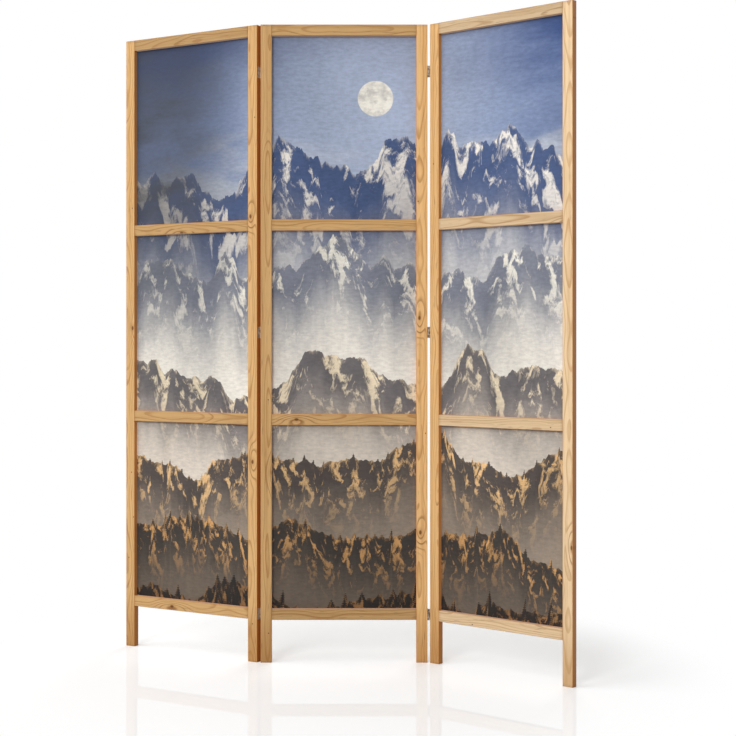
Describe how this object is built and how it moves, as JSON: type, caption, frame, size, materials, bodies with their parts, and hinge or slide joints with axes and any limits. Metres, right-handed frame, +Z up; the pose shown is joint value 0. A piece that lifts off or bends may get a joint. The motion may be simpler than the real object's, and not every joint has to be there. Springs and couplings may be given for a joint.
{
  "type": "folding screen",
  "caption": "Folding room screen: pine-framed panels with cross rails and stretched printed cloth, joined by butt hinges so that it stands in a zigzag and folds flat.",
  "frame": {"origin": "on the floor, at the middle of the rectangle that the standing screen takes up", "axes": "+X along the middle panel to the viewer's right, +Y to the back of the middle panel, +Z up"},
  "size_m": [1.2112, 0.534, 1.72],
  "materials": {
    "pine": "clear satin lacquer",
    "dowel_wood": "bare beech",
    "printed_cloth": "matt canvas, printed on its front",
    "hinge_metal": "warm nickel plate, dulled",
    "screw_steel": "plated",
    "staple_wire": "galvanised"
  },
  "bodies": {
    "middle_panel": {"left_bottom_hinge_middle_leaf": "hinge_metal", "left_bottom_hinge_pin": "hinge_metal", "left_joint_middle_leaf_screws": "screw_steel", "left_middle_hinge_middle_leaf": "hinge_metal", "left_middle_hinge_pin": "hinge_metal", "left_top_hinge_middle_leaf": "hinge_metal", "left_top_hinge_pin": "hinge_metal", "middle_panel_bottom_rail": "pine", "middle_panel_dowels": "dowel_wood", "middle_panel_left_stile": "pine", "middle_panel_lower_rail": "pine", "middle_panel_printed_cloth": "printed_cloth", "middle_panel_right_stile": "pine", "middle_panel_staples": "staple_wire", "middle_panel_top_rail": "pine", "middle_panel_upper_rail": "pine", "right_bottom_hinge_middle_leaf": "hinge_metal", "right_bottom_hinge_pin": "hinge_metal", "right_joint_middle_leaf_screws": "screw_steel", "right_middle_hinge_middle_leaf": "hinge_metal", "right_middle_hinge_pin": "hinge_metal", "right_top_hinge_middle_leaf": "hinge_metal", "right_top_hinge_pin": "hinge_metal"},
    "left_panel": {"left_bottom_hinge_left_leaf": "hinge_metal", "left_joint_left_leaf_screws": "screw_steel", "left_middle_hinge_left_leaf": "hinge_metal", "left_panel_bottom_rail": "pine", "left_panel_dowels": "dowel_wood", "left_panel_left_stile": "pine", "left_panel_lower_rail": "pine", "left_panel_printed_cloth": "printed_cloth", "left_panel_right_stile": "pine", "left_panel_staples": "staple_wire", "left_panel_top_rail": "pine", "left_panel_upper_rail": "pine", "left_top_hinge_left_leaf": "hinge_metal"},
    "right_panel": {"right_bottom_hinge_right_leaf": "hinge_metal", "right_joint_right_leaf_screws": "screw_steel", "right_middle_hinge_right_leaf": "hinge_metal", "right_panel_bottom_rail": "pine", "right_panel_dowels": "dowel_wood", "right_panel_left_stile": "pine", "right_panel_lower_rail": "pine", "right_panel_printed_cloth": "printed_cloth", "right_panel_right_stile": "pine", "right_panel_staples": "staple_wire", "right_panel_top_rail": "pine", "right_panel_upper_rail": "pine", "right_top_hinge_right_leaf": "hinge_metal"}
  },
  "joints": [
    {"name": "left_fold", "type": "hinge", "parent": "middle_panel", "child": "left_panel", "pos_m": [-0.20684, 0.04246, 0], "axis": [0, 0, -1], "range_deg": [-30, 150]},
    {"name": "right_fold", "type": "hinge", "parent": "middle_panel", "child": "right_panel", "pos_m": [0.24641, 0.02266, 0], "axis": [0, 0, -1], "range_deg": [-40, 140]}
  ]
}
